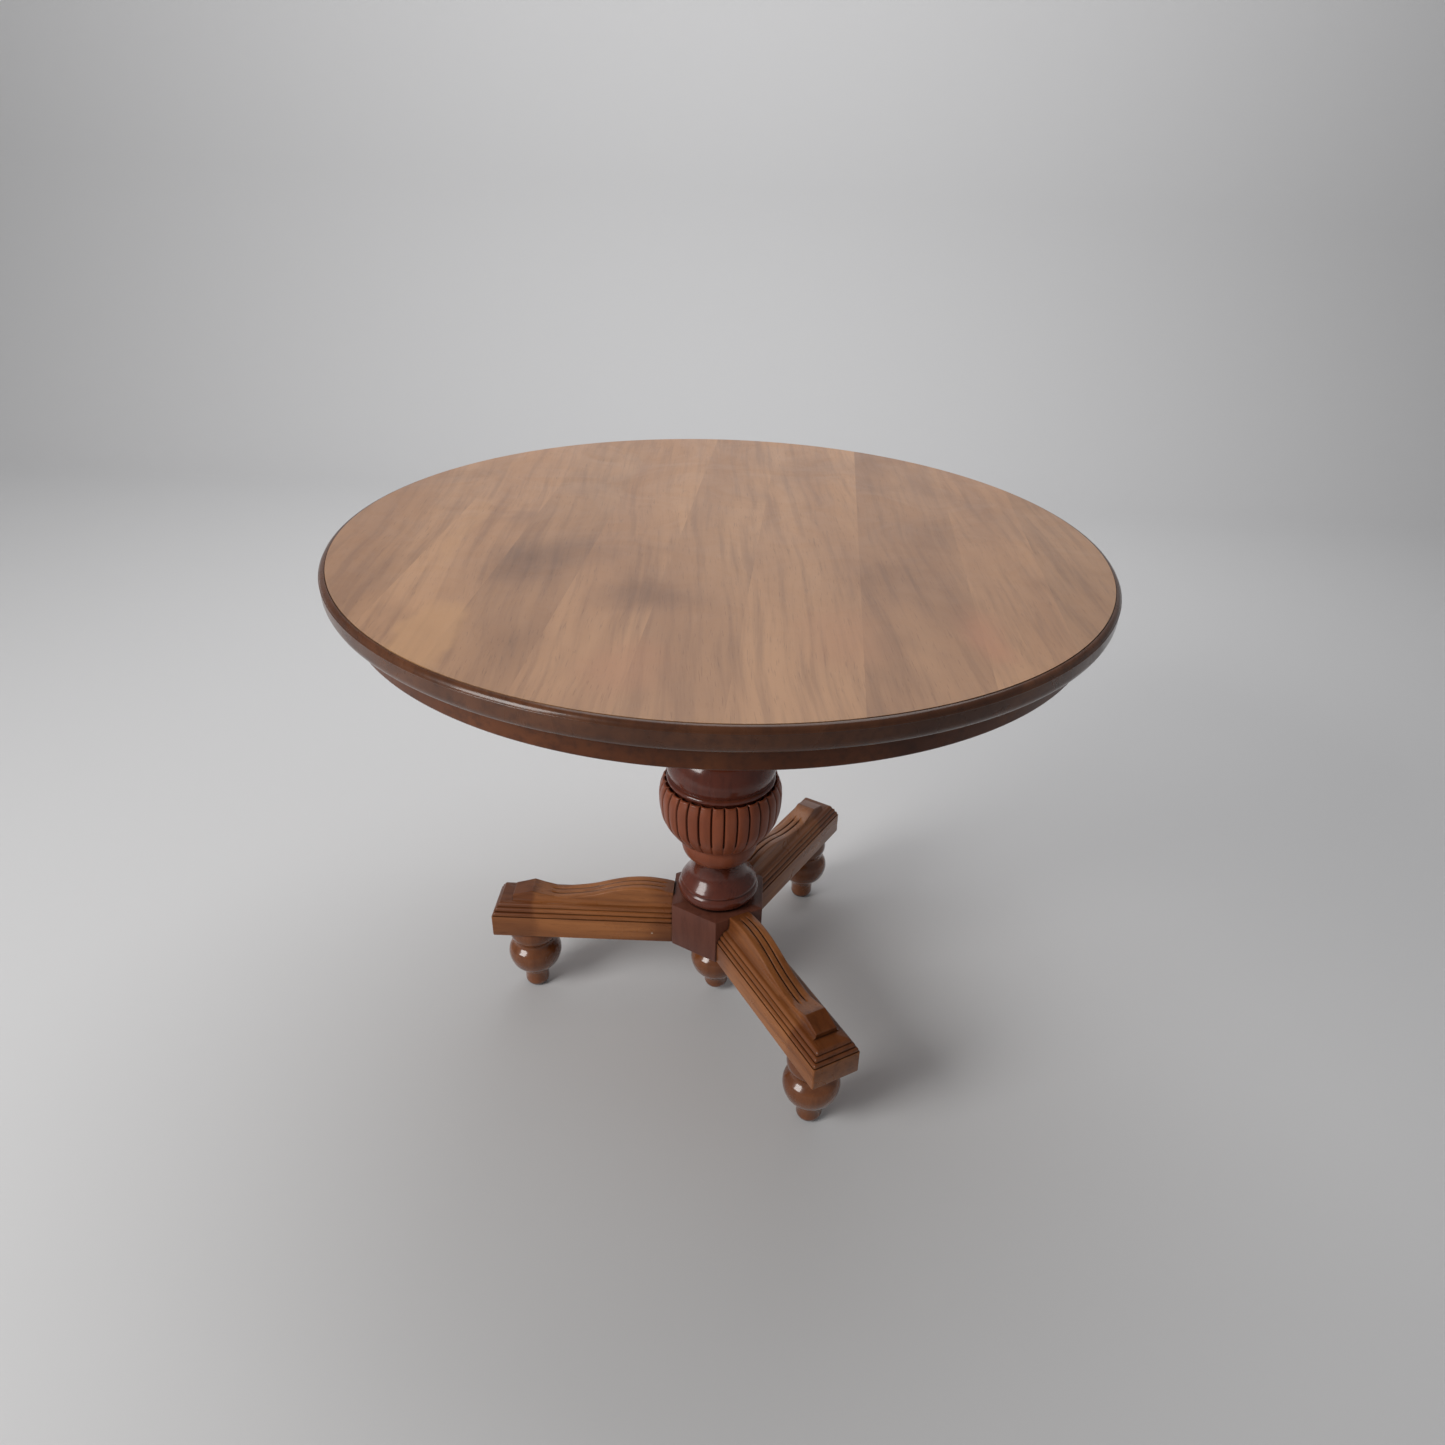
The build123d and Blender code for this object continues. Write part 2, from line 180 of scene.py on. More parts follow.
def mathNode(tree, operation, a, b=0.0, clamp=False):
    settings = {"operation": operation, "use_clamp": clamp}
    return addNode(tree, "ShaderNodeMath", settings, {0: a, 1: b}).outputs[0]


def vectorNode(tree, operation, values):
    return addNode(tree, "ShaderNodeVectorMath", {"operation": operation}, values).outputs[0]


def noiseNode(tree, vector, scale, detail, **others):
    values = {"Vector": vector, "Scale": scale, "Detail": detail, **others}
    return addNode(tree, "ShaderNodeTexNoise", None, values).outputs


def stretched(tree, vector, scale):
    return addNode(tree, "ShaderNodeMapping", None, {"Vector": vector, "Scale": scale}).outputs[0]


def mixColour(tree, blend, factor, a, b):
    node = addNode(tree, "ShaderNodeMix", {"data_type": "RGBA", "blend_type": blend}, {"Factor": factor})
    for index, value in ((6, a), (7, b)):
        if isinstance(value, bpy.types.NodeSocket):
            tree.links.new(value, node.inputs[index])
        else:
            node.inputs[index].default_value = value
    return node.outputs[2]


def rangeNode(tree, value, low, high, toLow, toHigh):
    values = {"Value": value, "From Min": low, "From Max": high, "To Min": toLow, "To Max": toHigh}
    return addNode(tree, "ShaderNodeMapRange", {"interpolation_type": "SMOOTHSTEP"}, values).outputs[0]


def buildWoodFigure():
    # long grain along X: broad figure, streaks, cloudy stain and pores
    group, start, end = newGroup(
        "woodFigure",
        [("Vector", "NodeSocketVector", None), ("Seed", "NodeSocketFloat", 0.0),
         ("Scale", "NodeSocketFloat", 1.0), ("Light", "NodeSocketColor", (0.5, 0.3, 0.2, 1)),
         ("Middle", "NodeSocketColor", (0.4, 0.2, 0.1, 1)), ("Dark", "NodeSocketColor", (0.2, 0.1, 0.05, 1)),
         ("Cloud", "NodeSocketFloat", 0.5), ("Streak", "NodeSocketFloat", 0.5),
         ("Pores", "NodeSocketFloat", 0.5)],
        [("Color", "NodeSocketColor"), ("Height", "NodeSocketFloat")])
    value = start.outputs
    scaled = vectorNode(group, "SCALE", {0: value["Vector"], "Scale": value["Scale"]})
    shift = addNode(group, "ShaderNodeCombineXYZ", None, dict.fromkeys("XYZ", value["Seed"])).outputs[0]
    place = vectorNode(group, "ADD", {0: scaled, 1: shift})
    bend = noiseNode(group, place, 2.2, 2.0)["Color"]
    bent = vectorNode(group, "MULTIPLY_ADD", {0: bend, 1: (0.02, 0.05, 0.05), 2: place})
    broad = stretched(group, bent, (1.3, 9.0, 9.0))
    figure = noiseNode(group, broad, 1.0, 4.0, Roughness=0.55, Distortion=0.35)[0]
    streak = noiseNode(group, stretched(group, bent, (4.0, 95.0, 95.0)), 1.0, 5.0, Roughness=0.6)[0]
    pore = noiseNode(group, stretched(group, bent, (38.0, 620.0, 620.0)), 1.0, 2.0)[0]
    cloud = noiseNode(group, place, 5.0, 3.0, Roughness=0.5, Distortion=0.6)[0]
    tone = rangeNode(group, figure, 0.30, 0.70, 0.0, 1.0)
    base = mixColour(group, "MIX", tone, value["Middle"], value["Light"])
    for noise, low, high, amount in ((streak, 0.42, 0.72, "Streak"), (cloud, 0.52, 0.74, "Cloud"),
                                     (pore, 0.60, 0.74, "Pores")):
        mask = mathNode(group, "MULTIPLY", rangeNode(group, noise, low, high, 0.0, 1.0), value[amount], True)
        base = mixColour(group, "MIX", mask, base, value["Dark"])
    # the last mask is the pores, which sink below the streaks
    ridges = mathNode(group, "MULTIPLY", streak, 0.6)
    height = mathNode(group, "ADD", ridges, mathNode(group, "MULTIPLY", mask, -0.8))
    group.links.new(base, end.inputs["Color"])
    group.links.new(height, end.inputs["Height"])
    return group


def buildMarksAndShade():
    # darker polish left in hollows together with painted shade in hollows and where pieces meet, worn
    # arrises, smears, small dents and specks
    group, start, end = newGroup(
        "handlingMarks",
        [("Vector", "NodeSocketVector", None), ("Reach", "NodeSocketFloat", 0.006),
         ("Hollow", "NodeSocketFloat", 0.6), ("Wear", "NodeSocketFloat", 0.3)],
        [(name, "NodeSocketFloat") for name in ("Hollows", "Edges", "Smears", "Dents", "Flecks")])
    value = start.outputs
    place = value["Vector"]
    # painted shade: ambient occlusion darkens hollows and the places where this piece meets another or the
    # floor, along with the darker polish there
    shade = addNode(group, "ShaderNodeAmbientOcclusion", {"samples": 8}, {"Distance": value["Reach"]})
    hollow = rangeNode(group, shade.outputs["AO"], 0.35, 0.93, 1.0, 0.0)
    hollow = mathNode(group, "MULTIPLY", hollow, value["Hollow"], True)
    inside = addNode(group, "ShaderNodeAmbientOcclusion", {"samples": 8, "only_local": True, "inside": True},
                     {"Distance": mathNode(group, "MULTIPLY", value["Reach"], 0.4)})
    edge = rangeNode(group, inside.outputs["AO"], 0.45, 0.85, 1.0, 0.0)
    patch = noiseNode(group, place, 26.0, 4.0)[0]
    edge = mathNode(group, "MULTIPLY", edge, rangeNode(group, patch, 0.40, 0.62, 0.0, 1.0))
    edge = mathNode(group, "MULTIPLY", edge, value["Wear"], True)
    smear = noiseNode(group, place, 9.0, 5.0, Roughness=0.65, Distortion=1.2)[0]
    dents = addNode(group, "ShaderNodeTexVoronoi", None, {"Vector": place, "Scale": 42.0})
    dents = rangeNode(group, dents.outputs["Distance"], 0.02, 0.10, 0.0, 1.0)
    speck = addNode(group, "ShaderNodeTexVoronoi", None, {"Vector": place, "Scale": 30.0})
    channels = addNode(group, "ShaderNodeSeparateColor", None, {"Color": speck.outputs["Color"]})
    chosen = mathNode(group, "GREATER_THAN", channels.outputs[0], 0.88)
    flecks = rangeNode(group, speck.outputs["Distance"], 0.035, 0.055, 1.0, 0.0)
    flecks = mathNode(group, "MULTIPLY", flecks, chosen)
    for name, mask in (("Hollows", hollow), ("Edges", edge), ("Smears", smear), ("Dents", dents),
                       ("Flecks", flecks)):
        group.links.new(mask, end.inputs[name])
    return group


# where the top is marked: middle and half size in metres, strength, and which tone it takes
topMarks = (
    ("Smudge", (-0.235, -0.130), (0.065, 0.085), 0.75), ("Smudge", (-0.180, -0.075), (0.050, 0.060), 0.45),
    ("Smudge", (-0.077, -0.205), (0.085, 0.050), 0.65), ("Smudge", (0.215, -0.110), (0.060, 0.055), 0.35),
    ("Smudge", (0.280, 0.060), (0.090, 0.080), 0.30), ("Smudge", (-0.200, -0.330), (0.045, 0.090), 0.35),
    ("Sapwood", (-0.290, -0.335), (0.034, 0.110), 0.60),
    ("Sapwood", (-0.330, -0.020), (0.010, 0.130), 0.25),
    ("Blush", (0.285, -0.270), (0.030, 0.085), 0.60), ("Blush", (-0.085, -0.375), (0.055, 0.070), 0.35),
    ("Blush", (0.130, -0.290), (0.060, 0.090), 0.25),
)


def buildTopPatches():
    # soft-edged smudges, a streak of sapwood and reddish bloom at set places on the top
    group, start, end = newGroup("topPatches", [("Vector", "NodeSocketVector", None)],
                                 [(name, "NodeSocketFloat") for name in ("Smudge", "Sapwood", "Blush")])
    place = start.outputs["Vector"]
    wobble = noiseNode(group, place, 14.0, 4.0)["Color"]
    bent = vectorNode(group, "MULTIPLY_ADD", {0: wobble, 1: (0.05, 0.08, 0.0), 2: place})
    sums = {}
    for name, middle, size, strength in topMarks:
        # the wobble moves every patch by half its size, which is taken off again here
        centre = (middle[0] + 0.025, middle[1] + 0.04, 0)
        offset = vectorNode(group, "SUBTRACT", {0: bent, 1: centre})
        fitted = vectorNode(group, "MULTIPLY", {0: offset, 1: (1 / size[0], 1 / size[1], 0)})
        reach = addNode(group, "ShaderNodeVectorMath", {"operation": "LENGTH"}, {0: fitted}).outputs["Value"]
        edge = 0.75 if name == "Sapwood" else 0.1  # sapwood ends more sharply
        mask = rangeNode(group, reach, edge, 1.15, strength, 0.0)
        sums[name] = mathNode(group, "ADD", sums[name], mask, True) if name in sums else mask
    for name, mask in sums.items():
        group.links.new(mask, end.inputs[name])
    return group


def buildLegShade():
    # painted shade beside the hub, over the end block and along the upper mouldings; metres along the leg
    group, start, end = newGroup("legStain", [("Vector", "NodeSocketVector", None)],
                                 [("Stain", "NodeSocketFloat")])
    place = addNode(group, "ShaderNodeSeparateXYZ", None, {"Vector": start.outputs["Vector"]})
    wobble = noiseNode(group, start.outputs["Vector"], 30.0, 4.0)[0]
    along = mathNode(group, "MULTIPLY_ADD", wobble, 0.03)
    group.links.new(place.outputs["X"], along.node.inputs[2])
    sideTone, endTone = (rangeNode(group, place.outputs["Z"], 0.158, 0.166, low, 1.0) for low in (0.25, 0.55))
    hubSide = rangeNode(group, along, 0.085, 0.150, 0.80, 0.0)
    endSide = mathNode(group, "MULTIPLY", rangeNode(group, along, 0.285, 0.305, 0.0, 0.95), endTone)
    across = mathNode(group, "ABSOLUTE", place.outputs["Y"])
    flank = mathNode(group, "MULTIPLY", rangeNode(group, across, 0.014, 0.019, 0.15, 0.45), sideTone)
    stain = mathNode(group, "MAXIMUM", mathNode(group, "MAXIMUM", hubSide, endSide), flank)
    group.links.new(stain, end.inputs["Stain"])
    return group


legStain = buildLegShade()
topPatches = buildTopPatches()
woodFigure = buildWoodFigure()
handlingMarks = buildMarksAndShade()
fleckColour = (0.62, 0.52, 0.42, 1)


def varnishedWood(name, settings):
    material = bpy.data.materials.new(name)
    material.use_nodes = True
    tree = material.node_tree
    shader = tree.nodes["Principled BSDF"]
    coords = addNode(tree, "ShaderNodeTexCoord").outputs["Object"]
    turned = tuple(math.radians(a) for a in settings["grainTurn"])
    along = addNode(tree, "ShaderNodeMapping", None, {"Vector": coords, "Rotation": turned}).outputs[0]
    wood = addNode(tree, "ShaderNodeGroup", {"node_tree": woodFigure},
                   {"Vector": along, "Seed": settings["seed"], "Scale": settings["scale"],
                    "Light": (*settings["light"], 1), "Middle": (*settings["middle"], 1),
                    "Dark": (*settings["dark"], 1), "Cloud": settings["cloud"],
                    "Streak": settings["streak"], "Pores": settings["pores"]})
    marks = addNode(tree, "ShaderNodeGroup", {"node_tree": handlingMarks},
                    {"Vector": coords, "Reach": settings["reach"], "Hollow": settings["hollow"],
                     "Wear": settings["wear"]})
    colour = wood.outputs["Color"]
    # the hollow mask paints shade into hollows and where pieces meet, along with darker polish there; edges
    # take the worn colour
    for output, key in (("Hollows", "crevice"), ("Edges", "worn")):
        colour = mixColour(tree, "MIX", marks.outputs[output], colour, (*settings[key], 1))
    if settings["flecks"]:
        fleckMask = mathNode(tree, "MULTIPLY", marks.outputs["Flecks"], settings["flecks"])
        colour = mixColour(tree, "MIX", fleckMask, colour, fleckColour)
    # painted shade on the legs: darker beside the hub, over the end block and along the upper mouldings
    if "stain" in settings:
        stain = addNode(tree, "ShaderNodeGroup", {"node_tree": legStain}, {"Vector": coords})
        colour = mixColour(tree, "MULTIPLY", stain.outputs["Stain"], colour, (*settings["stain"], 1))
    if "patches" in settings:
        patch = addNode(tree, "ShaderNodeGroup", {"node_tree": topPatches}, {"Vector": coords})
        for output, blend in (("Smudge", "MULTIPLY"), ("Sapwood", "MIX"), ("Blush", "MIX")):
            tone = (*settings["patches"][output.lower()], 1)
            colour = mixColour(tree, blend, patch.outputs[output], colour, tone)
    tree.links.new(colour, shader.inputs["Base Color"])
    low, high = settings["roughness"]
    rough = rangeNode(tree, marks.outputs["Smears"], 0.3, 0.7, low, high)
    rough = mathNode(tree, "ADD", rough, mathNode(tree, "MULTIPLY", marks.outputs["Hollows"], 0.18), True)
    tree.links.new(rough, shader.inputs["Roughness"])
    bump = addNode(tree, "ShaderNodeBump", None,
                   {"Strength": settings["bump"], "Distance": 0.0006, "Height": wood.outputs["Height"]})
    dented = addNode(tree, "ShaderNodeBump", None,
                     {"Strength": settings["dents"], "Distance": 0.0008,
                      "Height": marks.outputs["Dents"], "Normal": bump.outputs[0]})
    tree.links.new(dented.outputs[0], shader.inputs["Normal"])
    shader.inputs["Coat Weight"].default_value = settings["coat"]
    shader.inputs["Coat Roughness"].default_value = settings["coatRoughness"]
    shader.inputs["Specular IOR Level"].default_value = settings["specular"]
    return material


# finishes, each one a change of an earlier one

topFinish = {
    "light": (0.42, 0.222, 0.11), "middle": (0.315, 0.156, 0.075), "dark": (0.165, 0.076, 0.038),
    # the darker hollow colour and its amount below set the painted shade and darker polish in hollows and
    # where pieces meet
    "crevice": (0.05, 0.02, 0.01), "worn": (0.45, 0.28, 0.17), "grainTurn": (0, 0, 87), "scale": 1.0,
    "seed": 0.0, "cloud": 0.34, "streak": 0.42, "pores": 0.45, "reach": 0.003, "hollow": 0.5,
    "wear": 0.0, "flecks": 0.0, "roughness": (0.28, 0.42), "bump": 0.08, "dents": 0.0, "coat": 0.3,
    "coatRoughness": 0.25, "specular": 0.4,
}
bandFinish = dict(
    topFinish,
    light=(0.11, 0.038, 0.014), middle=(0.058, 0.018, 0.006), dark=(0.028, 0.009, 0.004),
    crevice=(0.01, 0.003, 0.002), worn=(0.2, 0.095, 0.045), cloud=0.5, streak=0.45, pores=0.3,
    hollow=0.9, wear=0.25, flecks=0.3, roughness=(0.2, 0.34), dents=0.08, coatRoughness=0.1,
    specular=0.22)
apronFinish = dict(
    bandFinish,
    light=(0.122, 0.036, 0.01), middle=(0.074, 0.019, 0.005), dark=(0.024, 0.007, 0.003), wear=0.15,
    flecks=0.6, roughness=(0.28, 0.42), coat=0.1, coatRoughness=0.2, specular=0.18)
columnFinish = dict(
    bandFinish,
    light=(0.125, 0.029, 0.015), middle=(0.082, 0.017, 0.009), dark=(0.028, 0.006, 0.004),
    crevice=(0.007, 0.002, 0.0015), worn=(0.2, 0.07, 0.04), grainTurn=(0, 90, 0), streak=0.3,
    wear=0.15, flecks=0.0, roughness=(0.2, 0.32), coat=0.5)
gadroonFinish = dict(
    columnFinish,
    light=(0.25, 0.068, 0.029), middle=(0.175, 0.042, 0.017), dark=(0.08, 0.018, 0.008),
    crevice=(0.026, 0.006, 0.003), worn=(0.34, 0.13, 0.07), cloud=0.3, reach=0.0035, hollow=1.0,
    wear=0.3, roughness=(0.32, 0.46), coat=0.15, coatRoughness=0.2)
hubFinish = dict(
    columnFinish,
    light=(0.135, 0.046, 0.028), middle=(0.095, 0.029, 0.018), cloud=0.25, reach=0.004, wear=0.4,
    roughness=(0.32, 0.46), coat=0.15, coatRoughness=0.2)
legFinish = dict(
    topFinish,
    light=(0.39, 0.15, 0.048), middle=(0.255, 0.09, 0.027), dark=(0.085, 0.023, 0.007),
    crevice=(0.026, 0.007, 0.003), worn=(0.42, 0.2, 0.085), grainTurn=(0, 0, 0), cloud=0.5,
    streak=0.45, pores=0.4, reach=0.005, hollow=0.95, wear=0.35, flecks=0.9, roughness=(0.26, 0.4),
    dents=0.1, coat=0.2, coatRoughness=0.16, specular=0.25)
# the long reach paints shade on the feet where they stand on the floor and meet the rails
footFinish = dict(
    legFinish,
    light=(0.21, 0.07, 0.022), middle=(0.125, 0.038, 0.012), grainTurn=(0, 90, 0), reach=0.01,
    wear=0.1, flecks=0.0, roughness=(0.18, 0.28), coat=0.6, coatRoughness=0.07)
innerFinish = dict(
    topFinish,
    light=(0.52, 0.36, 0.21), middle=(0.42, 0.27, 0.15), dark=(0.27, 0.16, 0.08),
    crevice=(0.16, 0.09, 0.045), worn=(0.55, 0.4, 0.25), cloud=0.3, roughness=(0.55, 0.75), coat=0.0)

bandWood = varnishedWood("bandVarnish", bandFinish)
apronWood = varnishedWood("apronVarnish", apronFinish)
columnWood = varnishedWood("columnVarnish", columnFinish)
gadroonWood = varnishedWood("gadroonVarnish", gadroonFinish)
hubWood = varnishedWood("hubVarnish", hubFinish)
footWood = varnishedWood("footVarnish", footFinish)
innerWood = varnishedWood("bareWood", innerFinish)
print("wood finishes ready")


def dress(node, material):
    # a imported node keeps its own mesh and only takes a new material
    node.data.materials.clear()
    node.data.materials.append(material)


def screwSteel():
    material = bpy.data.materials.new("zincScrew")
    material.use_nodes = True
    tree = material.node_tree
    shader = tree.nodes["Principled BSDF"]
    coords = addNode(tree, "ShaderNodeTexCoord").outputs["Object"]
    mottle = noiseNode(tree, coords, 300.0, 3.0)[0]
    tone = rangeNode(tree, mottle, 0.35, 0.65, 0, 1)
    colour = mixColour(tree, "MIX", tone, (0.35, 0.34, 0.32, 1), (0.62, 0.61, 0.58, 1))
    tree.links.new(colour, shader.inputs["Base Color"])
    tree.links.new(rangeNode(tree, mottle, 0.3, 0.7, 0.28, 0.5), shader.inputs["Roughness"])
    shader.inputs["Metallic"].default_value = 1.0
    return material


# boards of the top

boards = {
    "lightness": (1.0, 1.05, 0.95, 1.04, 0.99, 1.02, 0.96, 1.03, 0.88), "seedStep": 3.7,
    "patches": {"smudge": (0.60, 0.54, 0.50), "sapwood": (0.47, 0.25, 0.11), "blush": (0.40, 0.17, 0.085)},
}

for number, factor in enumerate(boards["lightness"], 1):
    finish = dict(topFinish, seed=number * boards["seedStep"], patches=boards["patches"])
    for key in ("light", "middle", "dark"):
        finish[key] = tuple(c * factor for c in topFinish[key])
    dress(nodes[f"top_board_{number}"], varnishedWood(f"boardVarnish{number}", finish))
print("boards finished")

# edge band and apron

edgeBand = {"boardRadius": 482.0, "outerRadius": 489.9, "ridgeDrop": 6.4, "depth": 29.0,
            "lip": 10.0, "boardDepth": 26.0, "ringSteps": 48}
topHeight = tableTop / mm


def bandSection():
    b = edgeBand
    inner, outer = b["boardRadius"], b["outerRadius"]
    ridge = topHeight - b["ridgeDrop"]
    bottom = topHeight - b["depth"]
    under = topHeight - b["boardDepth"]
    ovolo = arcLine((inner + 0.9, topHeight - 0.7), (inner + 4.9, topHeight - 2.3),
                    (outer - 0.7, ridge + 0.5), 8)
    nose = arcLine((outer - 0.7, ridge + 0.5), (outer, ridge - 0.2), (outer - 0.35, ridge - 1.3), 4)
    foot = arcLine((outer - 0.35, ridge - 12), (outer - 2.2, ridge - 18.4), (outer - 6.5, bottom), 8)
    return joinLines([(inner, topHeight - 1.6)], ovolo, nose, foot,
                     [(inner - b["lip"], bottom), (inner - b["lip"], under), (inner, under)])


apron = {"radius": 465.0, "thickness": 20.0, "bottom": 711.0, "round": 3.0}


def apronSection():
    a = apron
    outer, inner = a["radius"], a["radius"] - a["thickness"]
    r, low, high = a["round"], a["bottom"], topHeight - edgeBand["boardDepth"]
    outerRound = arcLine((outer, low + r), (outer - 0.3 * r, low + 0.3 * r), (outer - r, low), 5)
    innerRound = arcLine((inner + r, low), (inner + 0.3 * r, low + 0.3 * r), (inner, low + r), 5)
    return joinLines([(outer, high)], outerRound, innerRound, [(inner, high)])


for number in range(1, 7):
    first, steps = 60 * (number - 1), edgeBand["ringSteps"]
    band = ringSegment(bandSection(), first + 30, first + 90, steps)
    addPiece(f"edgeBand{number}", *band, bandWood, "edge_band", f"edge_band_{number}")
    segment = ringSegment(apronSection(), first, first + 60, steps)
    addPiece(f"apronSegment{number}", *segment, apronWood, "apron", f"apron_segment_{number}")
print("edge band and apron built")

# wood and screws that only show from below

screwMetal = screwSteel()
bareNodes = ("glue_block", "front_bearer", "rear_bearer", "mounting_block", "apron_splines", "leg_dowels")
for name, node in nodes.items():
    if name in ("bearer_screws", "mounting_screws"):
        dress(node, screwMetal)
    elif name.startswith(bareNodes):
        dress(node, innerWood)

# turned column: vase, gadrooned bowl and bell

column = {"vaseBottom": 404.0, "bowlBottom": 277.0, "hubTop": 200.0, "capUnder": 718.0, "tenonTop": 744.0,
          "tenonRadius": 26.0, "core": 30, "turnSteps": 128, "lobes": 30, "lobeSteps": 18, "lobeGap": 3.0,
          "lobeGapWidth": 1.15, "lobeFoot": 311, "lobeShoulder": 400, "lobeSwell": (0.8, 1.2)}


def vaseProfile():
    c = column
    bead = arcLine((75.5, 408), (79.4, 412.5), (76.4, 417), 12)
    dome = smoothLine([(75.6, 418), (78.9, 427), (79.3, 440), (70.5, 463), (50, 481)], 12)
    ring = arcLine((46, 485), (50.5, 490.5), (46, 496), 10)
    shaft = smoothLine([(46, 496), (37, 516), (34, 570), (38, 650), (36, 684)], 8)
    upperRing = arcLine((36, 684), (41, 688.5), (36.5, 693), 8)
    flare = arcLine((36.5, 693), (42, 704), (58, 708), 8)
    cap = [(60, 710), (60, c["capUnder"])]
    tenon = [(c["tenonRadius"], c["capUnder"]), (c["tenonRadius"], c["tenonTop"])]
    return joinLines([(c["core"], c["vaseBottom"]), (75.5, c["vaseBottom"])], bead, dome, ring, shaft,
                     upperRing, flare, cap, tenon)


def bowlProfile():
    c = column
    collar = arcLine((47, c["bowlBottom"]), (56.5, 293), (54, 310), 14)
    belly = smoothLine([(58, 311.5), (70, 321), (86.5, 350), (90.2, 387), (85.6, 405.5)], 12)
    lip = arcLine((85.6, 405.5), (84.4, 407.9), (82.3, 408.2), 6)
    return joinLines([(c["core"], c["bowlBottom"])], collar, belly, lip,
                     [(77.5, c["vaseBottom"]), (c["core"], c["vaseBottom"])])


def gadroonShape(radius, height, angle):
    # rounds between narrow gaps, closing at the foot and at the shoulder
    c = column
    if height < c["lobeFoot"] or radius < 58:
        return radius
    pitch = 2 * math.pi / c["lobes"]
    x = abs(((angle / pitch) % 1) * 2 - 1)
    arc = x * pitch * radius / 2
    gap = math.exp(-(((pitch * radius / 2 - arc) / c["lobeGapWidth"]) ** 2))
    ends = smoothStep(c["lobeFoot"], c["lobeFoot"] + 4, height) * (0.4 if radius < 82 else 1)
    body, shoulder = c["lobeSwell"]
    swell = body * x ** 2 + shoulder * x ** 2 * smoothStep(c["lobeShoulder"], c["lobeShoulder"] + 8, height)
    return radius - ends * (c["lobeGap"] * gap + swell)


def bellProfile():
    c = column
    neck = smoothLine([(45, c["bowlBottom"]), (41.8, 263), (44.5, 248), (53, 236), (57, 230.5),
                       (58, 226.8)], 10)[::-1]
    torus = arcLine((56.2, 225.6), (61.3, 215.4), (55.5, 205), 14)[::-1]
    return joinLines([(c["core"], c["hubTop"]), (50, c["hubTop"])], torus, neck,
                     [(c["core"], c["bowlBottom"])])


vase = turnedSolid(vaseProfile(), column["turnSteps"])
bowl = turnedSolid(bowlProfile(), column["lobes"] * column["lobeSteps"], gadroonShape)
bell = turnedSolid(bellProfile(), column["turnSteps"])
addPiece("columnVase", *vase, columnWood, "column_dark", "column_vase")
addPiece("gadroonBowl", *bowl, gadroonWood, "gadroons", "gadroon_bowl")
addPiece("columnBell", *bell, columnWood, "column_dark", "column_bell")
print("column turned")

# six-sided hub

hub = {"radius": 79.4, "low": 124.0, "high": 200.0, "round": 2.0, "edge": 1.2, "capInset": 30}


def hubRing(inset, height):
    apothem = hub["radius"] * math.cos(math.radians(30)) - inset
    corner = apothem / math.cos(math.radians(30))
    r = hub["round"]
    centre = corner - r / math.cos(math.radians(30))
    ring = []
    for side in range(6):
        middle = 30 + 60 * side
        cx, cy = centre * math.cos(math.radians(middle)), centre * math.sin(math.radians(middle))
        for step in range(-3, 4):
            a = math.radians(middle + 10 * step)
            ring.append((cx + r * math.cos(a), cy + r * math.sin(a), height))
    return ring


def hubRings():
    # a small rounded edge at the foot and at the top, with a flat cap set in behind each
    low, high, e = hub["low"], hub["high"], hub["edge"]
    slack = 0.35 * e
    steps = ((hub["capInset"], low), (e, low), (slack, low + slack), (0, low + e),
             (0, high - e), (slack, high - slack), (e, high), (hub["capInset"], high))
    return [hubRing(inset, height) for inset, height in steps]


addPiece("legHub", *stackRings(hubRings(), True, True, True), hubWood, "column_dark", "leg_hub")

# legs: a moulded rail with a reeded crest

leg = {
    "start": 68.763, "end": 347.0, "width": 74.0, "low": 124.0, "shoulder": 160.0, "railTop": 180.0,
    # the shade tone in this line darkens the legs beside the hub, over the end block and along the upper
    # mouldings: painted shade
    "corner": 2.2, "sharpAngle": 30, "seedStep": 11.3, "stain": (0.42, 0.33, 0.30),
    "crestFoot": 43.0, "crestWaist": 33.0, "crestPeak": 286, "crestEnd": 316.0, "crestSteps": 96,
    "reedDepth": 2.3, "reedPitch": 10.0, "reedHalfWidth": 1.7, "reedStart": (78, 92), "reedStop": (248, 262),
    # the sloped block at the end of the crest: distance along the leg and height of its top
    "crestRamp": ((286.8, 196.9), (287.6, 196.7), (301, 192.5), (314.4, 188.6), (315.3, 188.2)),
    "rampFoot": 187.6,
}


def railRing(inset, height):
    # up one side from the hub, round the two corners of the end, and back
    half = leg["width"] / 2 - inset
    reach = leg["end"] - inset
    r = leg["corner"]
    ring = [(leg["start"], -half, height)]
    for centreY, first in ((-half + r, -90), (half - r, 0)):
        for step in range(5):
            a = math.radians(first + 22.5 * step)
            ring.append((reach - r + r * math.cos(a), centreY + r * math.sin(a), height))
    ring.append((leg["start"], half, height))
    return ring


